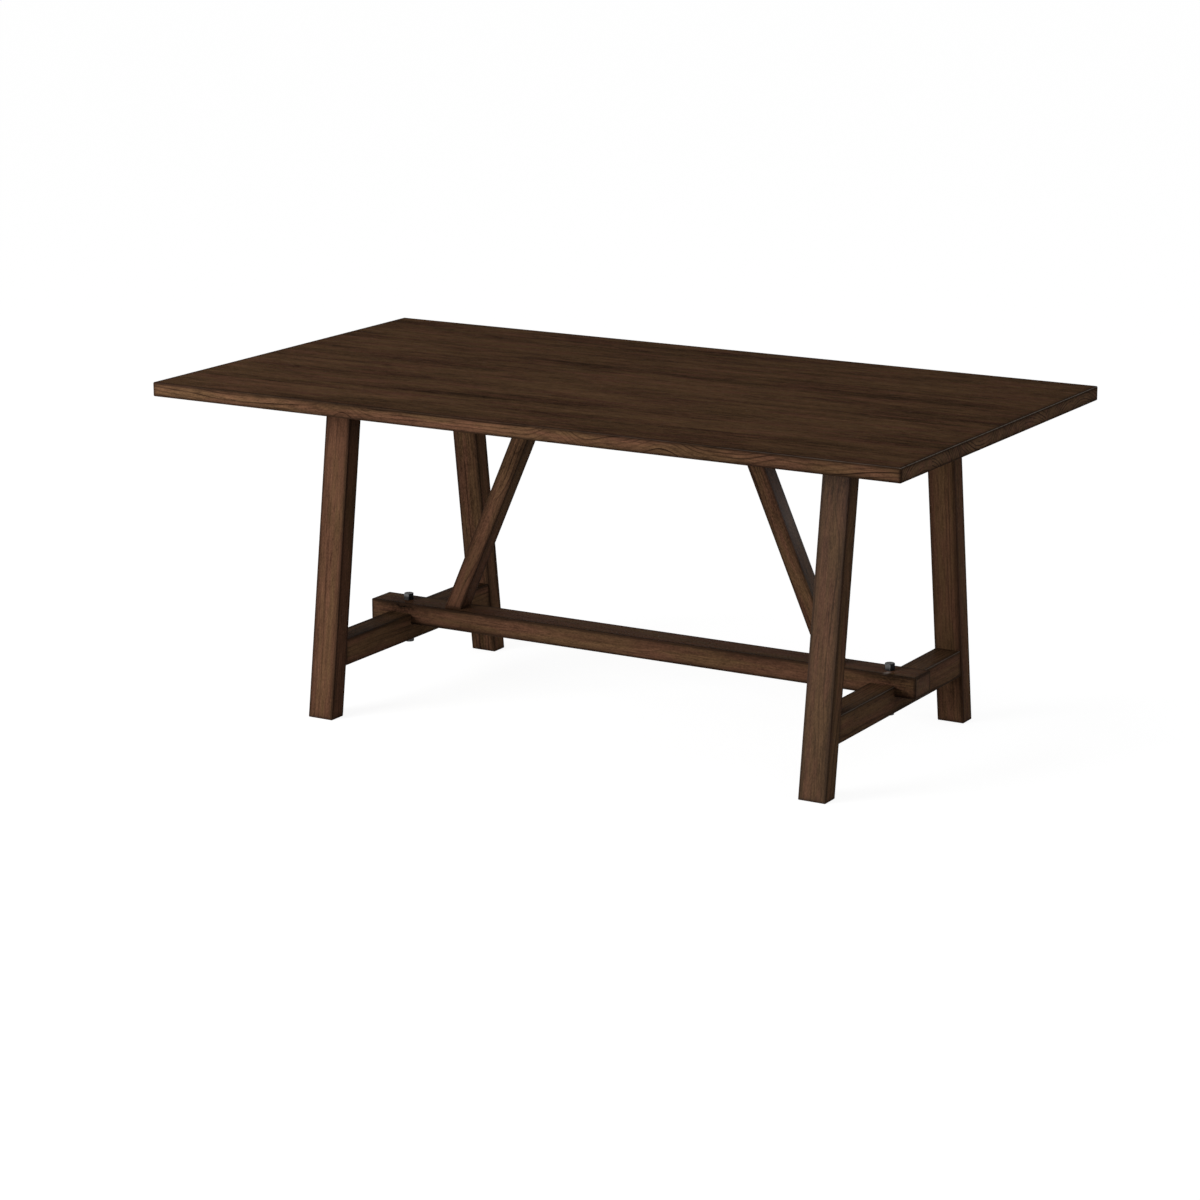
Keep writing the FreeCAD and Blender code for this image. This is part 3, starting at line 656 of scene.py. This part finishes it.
def ring_faces(rows, joined):
    """Quads between rings of points. The last ring joins the first, or else each gets a flat face over it."""
    count = rows if joined else rows - 1
    here = np.arange(count)[:, None] * TURN_STEPS
    above = (np.arange(count)[:, None] + 1) % rows * TURN_STEPS
    turn = np.arange(TURN_STEPS)
    following = (turn + 1) % TURN_STEPS
    corners = [here + turn, here + following, above + following, above + turn]
    quads = np.stack(corners, axis=-1).reshape(-1, 4)
    caps = np.stack([turn[::-1], (rows - 1) * TURN_STEPS + turn])
    return quads, caps[:0] if joined else caps


# Masks of the steel. A grey flat, worn and painted light, starts at a sine of the turn and is whole after the
# fade. The crown, out to the margin times the chamfer circle, has its own share of grey, a painted highlight.
# A rubbed corner starts at so many times half the flats and is whole after the span.
STEEL_MASKS = ("worn_and_lit_flats", "rubbed", "seat_darkening")
GREY_FLAT_SINE = 0.855
GREY_FLAT_FADE = 0.02
CROWN_HIGHLIGHT = 0.75
CROWN_MARGIN = 1.01
CORNER_START = 1.05
CORNER_SPAN = 0.09


def forged_piece(name, node, surface, joined, other_flats, dark_heights):
    """A copy of one ringed surface at each crossing, with masks of grey flats, rubbed corners and darkening.

    A spanner grips the front and back flats, where the turn's sine is about that of 60 degrees or more, and
    wears them grey; on the front flat that grey is also painted light. A share sets how grey the other flats
    are, and on a head they stay black as painted shade. At each crossing, the piece darkens evenly from one
    height to another.
    """
    radius, height = surface
    level = height[:, None] + 0.0 * radius
    ring = np.stack([radius * np.cos(TURNS), radius * np.sin(TURNS), level], axis=-1).reshape(-1, 3)
    # Grey flats: worn, and painted light on the front flat; the crown's grey is a painted highlight
    worn_and_lit_flats = np.clip((np.abs(np.sin(TURNS)) - GREY_FLAT_SINE) / GREY_FLAT_FADE, other_flats, 1.0) + 0.0 * radius
    worn_and_lit_flats = np.where(radius < CHAMFER_CIRCLE * CROWN_MARGIN, CROWN_HIGHLIGHT, worn_and_lit_flats).ravel()
    corner = np.clip((radius / HALF_FLATS - CORNER_START) / CORNER_SPAN, 0.0, 1.0).ravel()
    # Darker towards the seat, evenly from one height to another
    start, end = np.array(dark_heights).T[:, :, None]
    seat_darkening = np.clip((level.ravel() - start) / (end - start), 0.0, 1.0)
    points = np.concatenate([ring + (x, 0.0, 0.0) for x in CROSSINGS])
    copies = np.arange(len(CROSSINGS))[:, None, None] * len(ring)
    quads, caps = ring_faces(len(height), joined)
    faces = (quads + copies).reshape(-1, 4).tolist() + (caps + copies).reshape(-1, TURN_STEPS).tolist()
    mesh = bpy.data.meshes.new(name)
    mesh.from_pydata(points.tolist(), [], faces)
    for label, mask in zip(STEEL_MASKS, (worn_and_lit_flats, corner, seat_darkening)):
        layer = mesh.attributes.new(label, "FLOAT", "POINT")
        layer.data.foreach_set("value", (mask + np.zeros(seat_darkening.shape)).ravel().astype(np.float32))
    piece = bpy.data.objects.new(name, mesh)
    bpy.context.scene.collection.objects.link(piece)
    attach(piece, "root")
    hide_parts(node)
    return piece


FIRED_BLACK = (0.020, 0.020, 0.021, 1.0)
STEEL = (0.116, 0.116, 0.115, 1.0)
RUBBED_STEEL = (0.18, 0.18, 0.176, 1.0)
SEAT_DARK = (0.006, 0.005, 0.0045, 1.0)
STEEL_ROUGHNESS = 0.48
STEEL_METAL = 0.2
STEEL_GLOSS = 0.06
# Strength and depth in metres of the steel's relief, and the waves per metre of its two kinds of mark
STEEL_RELIEF = (0.5, 0.00008)
SCALE_WAVES = (240.0, 240.0, 240.0)
MARK_WAVES = (2600.0, 2600.0, 300.0)
# Smooth steps of the scale: how far a grey flat is bared, how much is rubbed, and how strong the darkening
# near the seat is
BARED_AND_LIT_STEP = (0.25, 0.60, 0.7, 1.0)
RUB_STEP = (0.50, 0.80, 0.0, 0.3)
DARKEN_STEP = (0.2, 0.6, 1.0, 0.85)
CORNER_RUB = 0.55
MARK_ROUGHNESS = 0.12
RUBBED_ROUGHNESS = -0.18


def steel_material(name, black, colour, bright, roughness):
    """Steel with a black finish: grey on worn flats with painted light, smoother on rubbed corners, darker
    near the seat.
    """
    material, tree = new_material(name)
    place = put(tree, "ShaderNodeTexCoord").outputs["Object"]
    clouds = noise(tree, place, SCALE_WAVES, 3.0)
    marks = noise(tree, place, MARK_WAVES, 2.0)
    masks = [put(tree, "ShaderNodeAttribute", attribute_name=label) for label in STEEL_MASKS]
    flats, corners, near_seat = (mask.outputs["Fac"] for mask in masks)
    bared_and_lit = sums(tree, "MULTIPLY", flats, step(tree, clouds, *BARED_AND_LIT_STEP))
    shade = blend_colour(tree, bared_and_lit, black, colour)
    rubbed = sums(tree, "MULTIPLY_ADD", corners, CORNER_RUB, step(tree, clouds, *RUB_STEP))
    rubbed = sums(tree, "MULTIPLY", rubbed, flats)
    shade = blend_colour(tree, rubbed, shade, bright)
    darkened = sums(tree, "MULTIPLY", near_seat, step(tree, clouds, *DARKEN_STEP))
    shade = blend_colour(tree, darkened, shade, SEAT_DARK)
    rough = layered(tree, roughness, ((marks, MARK_ROUGHNESS), (rubbed, RUBBED_ROUGHNESS)))
    height = sums(tree, "ADD", clouds, marks)
    show_surface(tree, shade, STEEL_METAL, rough, STEEL_GLOSS, height, STEEL_RELIEF)
    return material


DARK_STEEL = steel_material("dark_steel", FIRED_BLACK, STEEL, RUBBED_STEEL, STEEL_ROUGHNESS)
NUT_UNDERSIDE = RAIL_UNDERSIDE - WASHER_THICKNESS - NUT_HEIGHT
# Heights where the darkening near the seat starts and where it is whole, as shares of the left and right
# heads' height, and then of a nut's
HEAD_DARK_SHARES = ((0.74, 0.47), (0.66, 0.14))
NUT_DARK_SHARES = (0.8, 1.0)
head_dark_heights = [[STRETCHER_TOP + share * BOLT_HEAD_HEIGHT for share in span] for span in HEAD_DARK_SHARES]
nut_dark_heights = [[NUT_UNDERSIDE + share * NUT_HEIGHT for share in NUT_DARK_SHARES]] * len(CROSSINGS)
bolt_rings = bolt_surface(NUT_UNDERSIDE - BOLT_PROJECTION, STRETCHER_TOP)
bolts = forged_piece("forged_bolts", "crossing_bolts", bolt_rings, joined=False, other_flats=0.0,
                     dark_heights=head_dark_heights)
nut_rings = nut_surface(NUT_UNDERSIDE)
nuts = forged_piece("forged_nuts", "crossing_nuts", nut_rings, joined=True, other_flats=1.0, dark_heights=nut_dark_heights)
for piece in (bolts, nuts):
    piece.data.materials.append(DARK_STEEL)
dress("crossing_washers", DARK_STEEL)

# Braces
# Two slanting hardwood braces that stiffen the table lengthways.
# Each is tenoned down into the stretcher and up into a batten under the top, and both ends are cut level.
# Dusting has polished the face that looks up, most of all on the right one.
BRACE_LEAN = math.radians(23.8)
BRACE_TAN = math.tan(BRACE_LEAN)
BRACE_FOOT = 0.484
BRACE_RISE = BEARER_UNDERSIDE - STRETCHER_TOP
BRACE_HALF_ACROSS = 0.0396 / math.cos(BRACE_LEAN) / 2
BRACE_HALF_DEPTH = 0.0434 / 2
BASE_MIDDLE = 0.041
# Each brace's name, side, pith, ring contrast and tone, and the places along its front that differ, then the
# polish of its upper face with the places that dusters reach more or less, the places where it took the stain
# redder or greener, and those where its rings swell sideways
BRACES = (("brace_left", -1, (9.4, 0.050, 0.060), 1.00, 0.92,
           ((-0.190, 0.110, 0.22), (0.118, 0.045, -0.24)),
           (0.03, ()), ((0.130, 0.120, -0.20), (-0.200, 0.110, 0.15)),
           ((0.012, 0.040, 0.017), (-0.070, 0.050, -0.009))),
          ("brace_right", 1, (14.2, -0.060, 0.055), 1.25, 0.66,
           ((-0.090, 0.070, 0.13), (0.080, 0.045, -0.15)),
           (0.34, ((0.065, 0.060, 0.26), (0.240, 0.045, -0.32))), ((-0.200, 0.120, 0.12),),
           ((-0.030, 0.050, 0.012),)))
BRACE_RED = 0.50
BRACE_WANDER = 0.045
BRACE_SPECK = 1.10
for name, side, pith, line, tone, changes, polish, reds, bows in BRACES:
    middle = (BASE_MIDDLE + side * (BRACE_FOOT - BRACE_TAN * BRACE_RISE / 2), 0.0,
              STRETCHER_TOP + BRACE_RISE / 2)
    half = (BRACE_RISE / 2, BRACE_HALF_ACROSS, BRACE_HALF_DEPTH)
    lean = (0.0, -side * BRACE_TAN, 0.0)
    stain = timber_material(name + "_stain", middle, UPRIGHT, half, pith, lean,
                            Wander=BRACE_WANDER, Line=line, Speck=BRACE_SPECK)
    # Painted shade at the brace's head, under the batten and the top
    head = ((half[0], *HEAD_SHADE),)
    stain = tone_faces(stain, (2, -1, half, lean), (tone, changes + head), (tone, head))
    stain = add_bows(stain, SIDEWAYS, bows)
    tree, timber, places = timber_parts(stain)
    feed(tree, timber.inputs["Red"], vary_along(tree, places[0], BRACE_RED, reds))
    dress(name, polish_face(stain, (1, side, half, lean), *polish))

# Battens
# Two hardwood battens across the underside of the top, thinned at their ends like the bearers.
# They take the heads of the braces and keep the boards flat, and screws go up through them.
BATTENS = (("batten_left", (10.8, 0.075, 0.055)), ("batten_right", (11.9, -0.065, 0.060)))
for name, pith in BATTENS:
    dress_crosspiece(name, pith)

# Top boards
# Seven hardwood boards with tongues and grooves, glued into one top and stained together.
# The outer edges are eased by hand, and the finish is a thin satin lacquer.
BOARD_COUNT = 7
TOP_GLOSS = 0.0002
TOP_LOW = Vector(map(min, *[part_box("top_board_%d" % n)[0] for n in range(1, BOARD_COUNT + 1)]))
TOP_HIGH = Vector(map(max, *[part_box("top_board_%d" % n)[1] for n in range(1, BOARD_COUNT + 1)]))
TOP_MIDDLE = (TOP_LOW + TOP_HIGH) / 2
TOP_HALF = (TOP_HIGH - TOP_LOW) / 2
BOARD_WIDTH = (TOP_HIGH.y - TOP_LOW.y) / BOARD_COUNT
# Pith of each board's log, from the board's own middle, and how light the board took the stain
BOARD_LOGS = (((2.7, 0.050, -0.120), 0.77), ((18.3, -0.085, -0.075), 0.77), ((21.9, 0.030, 0.110), 0.80),
              ((26.4, 0.100, -0.090), 0.74), ((31.2, -0.030, -0.160), 0.77), ((35.8, 0.070, -0.110), 0.72),
              ((39.5, -0.015, -0.150), 0.73))
BOARD_GRAIN = {"Banding": 1.25, "Fleck": 1.05, "Wander": 0.026, "Ring": 0.0072, "Red": 0.46, "Glaze": 0.60}
# Ring contrast on the faces, on the left and right of the edges, and how much more there is on end grain
LINE_ON_FACES = 0.30
LINE_ON_EDGES = (1.50, 1.90)
LINE_TURN = (-0.25, 0.25)
LINE_AT_ENDS = 1.50
# How much lighter the edges are than the top face: painted light
EDGE_LIGHTER = 1.26
# Depths below the faces and inside the ends between which an edge's look starts
EDGE_SKIN = (0.001, 0.004)
END_SKIN = (0.0025, 0.0010)
# Wear and painted highlight of the front arris at its middle and right end, and of the right end's arris,
# with the distances from the right end and from the back where each starts or stops
FRONT_WEAR_AND_HIGHLIGHT = (0.05, 0.30)
END_WEAR_AND_HIGHLIGHT = 0.75
FRONT_WEAR_AND_HIGHLIGHT_FULL = 0.020
BACK_WEAR_AND_HIGHLIGHT_STOP = (0.020, 0.006)
END_WEAR_AND_HIGHLIGHT_START = (0.006, 0.003)
# Places along the front board where its pith bows up and forwards, how far each reaches and how deep it is
FRONT_BOWS = ((-0.408, 0.042, 0.024), (0.120, 0.040, 0.018), (0.200, 0.045, -0.010), (0.378, 0.060, 0.022),
              (-0.720, 0.180, -0.012), (0.640, 0.050, 0.010), (0.930, 0.200, 0.030))
BOW_FORWARDS = (0.0, 0.6, -0.8)
# Places along the front edge that took the stain darker or lighter, how far each reaches and by how much
FRONT_TONES = ((-0.365, 0.170, -0.17), (0.010, 0.150, 0.18), (0.380, 0.150, 0.12), (0.760, 0.180, 0.08))


def show_edges(material, half_size, tone, tones):
    """Shows a board's sawn edges with clearer rings than its planed faces, and lighter than them as painted
    light.

    The masks are smooth steps: of the depth below the nearer face, of the distance from the ends, and of the
    places along and across for the arrises, lighter from wear and a painted highlight at the right end and,
    less so, along the front.
    """
    tree, timber, (along, across, through) = timber_parts(material)
    depth = sums(tree, "SUBTRACT", half_size.z, sums(tree, "ABSOLUTE", through))
    on_edge = step(tree, along, *LINE_TURN, *LINE_ON_EDGES)
    line = step(tree, depth, *EDGE_SKIN, LINE_ON_FACES, on_edge)
    reach = sums(tree, "ABSOLUTE", along)
    at_end = step(tree, reach, *under(half_size.x, END_SKIN), 1.0, LINE_AT_ENDS)
    feed(tree, timber.inputs["Line"], sums(tree, "MULTIPLY", line, at_end))
    edge_tone = vary_along(tree, along, tone * EDGE_LIGHTER, tones)
    feed(tree, timber.inputs["Tone"], step(tree, depth, *EDGE_SKIN, tone, edge_tone))
    # Arrises lighter from wear and a painted highlight, strongest at the right end
    worn_and_lit = step(tree, along, 0.0, half_size.x - FRONT_WEAR_AND_HIGHLIGHT_FULL, *FRONT_WEAR_AND_HIGHLIGHT)
    off_back = step(tree, across, *under(half_size.y, BACK_WEAR_AND_HIGHLIGHT_STOP), 1.0, 0.0)
    end_worn_and_lit = step(tree, along, *under(half_size.x, END_WEAR_AND_HIGHLIGHT_START), 0.0, END_WEAR_AND_HIGHLIGHT)
    worn_and_lit = sums(tree, "MAXIMUM", sums(tree, "MULTIPLY", worn_and_lit, off_back), end_worn_and_lit)
    feed(tree, timber.inputs["Wear And Highlight"], upper_wear_and_highlight(tree, through, half_size.z, worn_and_lit))
    return material


for index, (pith, tone) in enumerate(BOARD_LOGS):
    name = "top_board_%d" % (index + 1)
    middle_y = -TOP_HALF.y + BOARD_WIDTH * (index + 0.5)
    pith = (pith[0], middle_y + pith[1], pith[2])
    stain = timber_material(name + "_stain", TOP_MIDDLE, LENGTHWAYS, TOP_HALF, pith, gloss=TOP_GLOSS,
                            **BOARD_GRAIN)
    stain = show_edges(stain, TOP_HALF, tone, FRONT_TONES if index == 0 else ())
    if index == 0:
        stain = add_bows(stain, BOW_FORWARDS, FRONT_BOWS)
    dress(name, stain)

# Top screws
# Steel wood screws with sunk heads go up through the bearers and battens into the boards.
# They sit at the bottom of drilled holes and show only from beneath.
SCREW_STEEL = (0.30, 0.30, 0.29, 1.0)
BRIGHT_SCREW = (0.42, 0.42, 0.41, 1.0)
SCREW_ROUGHNESS = 0.42
dress("top_screws", steel_material("screw_steel", SCREW_STEEL, SCREW_STEEL, BRIGHT_SCREW, SCREW_ROUGHNESS))

# Floor
# A plain pale studio floor, wide enough to run out of sight. To the camera and in reflections it is nearly
# white, and it still takes the table's soft shadow.
FLOOR_RADIUS = 60.0
FLOOR_RINGS = 24
FLOOR_SPOKES = 96


def disc(radius, rings, spokes):
    """A flat disc: rings of points whose radius grows as a square, joined into quads round a hub."""
    reach = radius * np.linspace(0.0, 1.0, rings + 1)[1:] ** 2
    turn = np.linspace(0.0, 2 * np.pi, spokes, endpoint=False)
    points = np.stack([np.outer(reach, np.cos(turn)), np.outer(reach, np.sin(turn)),
                       np.zeros((rings, spokes))], axis=-1).reshape(-1, 3)
    start = np.arange(rings - 1)[:, None] * spokes
    here = np.arange(spokes)[None, :]
    there = (here + 1) % spokes
    quads = np.stack([start + here, start + spokes + here, start + spokes + there, start + there], axis=-1)
    hub = np.arange(spokes)
    return points, quads.reshape(-1, 4).tolist() + [hub.tolist()]


floor_points, floor_faces = disc(FLOOR_RADIUS, FLOOR_RINGS, FLOOR_SPOKES)
floor_mesh = bpy.data.meshes.new("floor")
floor_mesh.from_pydata(floor_points.tolist(), [], floor_faces)
floor = bpy.data.objects.new("floor", floor_mesh)
bpy.context.scene.collection.objects.link(floor)


def seen_mask(tree):
    """One for rays that the camera, a reflection or a clear body sees, and nothing for scattered light."""
    path = put(tree, "ShaderNodeLightPath").outputs
    seen = sums(tree, "MAXIMUM", path["Is Camera Ray"], path["Is Glossy Ray"])
    return sums(tree, "MAXIMUM", seen, path["Is Transmission Ray"])


FLOOR_GLOW = 0.90
FLOOR_SEEN = (0.24, 0.24, 0.24, 1.0)
FLOOR_BOUNCE = (0.70, 0.70, 0.70, 1.0)
WHITE = (1.0, 1.0, 1.0, 1.0)
floor_material, tree = new_material("pale_floor")
seen = seen_mask(tree)
shade = blend_colour(tree, seen, FLOOR_BOUNCE, FLOOR_SEEN)
matt = put(tree, "ShaderNodeBsdfDiffuse", shade)
glow = put(tree, "ShaderNodeEmission", WHITE, sums(tree, "MULTIPLY", seen, FLOOR_GLOW))
both = put(tree, "ShaderNodeAddShader", matt.outputs[0], glow.outputs[0])
put(tree, "ShaderNodeOutputMaterial", both.outputs[0])
floor_mesh.materials.append(floor_material)

# Studio light
# A white room gives even light from all round, and one large soft lamp stands in front and to the left.
# A weaker and cooler one stands at the right. The room itself shows as plain white behind the table.
ROOM_LIGHT = 0.40
room = bpy.data.worlds.new("white_room")
bpy.context.scene.world = room
room.use_nodes = True
tree = room.node_tree
tree.nodes.clear()
strength = step(tree, seen_mask(tree), 0.0, 1.0, ROOM_LIGHT, 1.0)
sky = put(tree, "ShaderNodeBackground", WHITE, strength)
put(tree, "ShaderNodeOutputWorld", sky.outputs[0])

KEY_PLACE = Vector((-2.2, -3.5, 1.22))
LAMP_AIM = Vector((0.0, 0.0, 0.45))
LAMP_SIZE = (2.0, 1.2)
KEY_POWER = 158.0
KEY_COLOUR = (1.0, 1.0, 1.0)
FILL_PLACE = Vector((4.6, 0.6, 1.3))
FILL_POWER = 18.0
FILL_COLOUR = (0.86, 0.94, 1.0)


def soft_lamp(name, place, power, colour):
    """A large soft lamp that faces the middle of the table."""
    lamp = bpy.data.lights.new(name, "AREA")
    lamp.shape = "RECTANGLE"
    lamp.size, lamp.size_y = LAMP_SIZE
    lamp.energy = power
    lamp.color = colour
    stand = bpy.data.objects.new(name, lamp)
    stand.location = place
    stand.rotation_euler = (LAMP_AIM - place).to_track_quat("-Z", "Y").to_euler()
    bpy.context.scene.collection.objects.link(stand)


soft_lamp("key_lamp", KEY_PLACE, KEY_POWER, KEY_COLOUR)
soft_lamp("fill_lamp", FILL_PLACE, FILL_POWER, FILL_COLOUR)

# Camera
# A long lens, level from side to side, a little above the table and turned 30 degrees from square.
# The shift sets the picture's middle as the photograph has it.
PICTURE_SIZE = 1200
SENSOR = 36.0
FIELD_OF_VIEW = math.radians(20.0)
EYE = (3.69594, -6.39703, 2.13997)
PITCH_DOWN = 0.2337
TURN = math.radians(30.0)
AIM_PIXEL = (625.0, 551.0)
lens = bpy.data.cameras.new("camera")
lens.sensor_width = SENSOR
lens.lens = SENSOR / 2 / math.tan(FIELD_OF_VIEW / 2)
lens.shift_x = (PICTURE_SIZE / 2 - AIM_PIXEL[0]) / PICTURE_SIZE
lens.shift_y = (AIM_PIXEL[1] - PICTURE_SIZE / 2) / PICTURE_SIZE
camera = bpy.data.objects.new("camera", lens)
camera.location = EYE
camera.rotation_euler = Euler((math.pi / 2 - PITCH_DOWN, 0.0, TURN))
bpy.context.scene.collection.objects.link(camera)
bpy.context.scene.camera = camera
bpy.context.scene.view_settings.view_transform = "Standard"
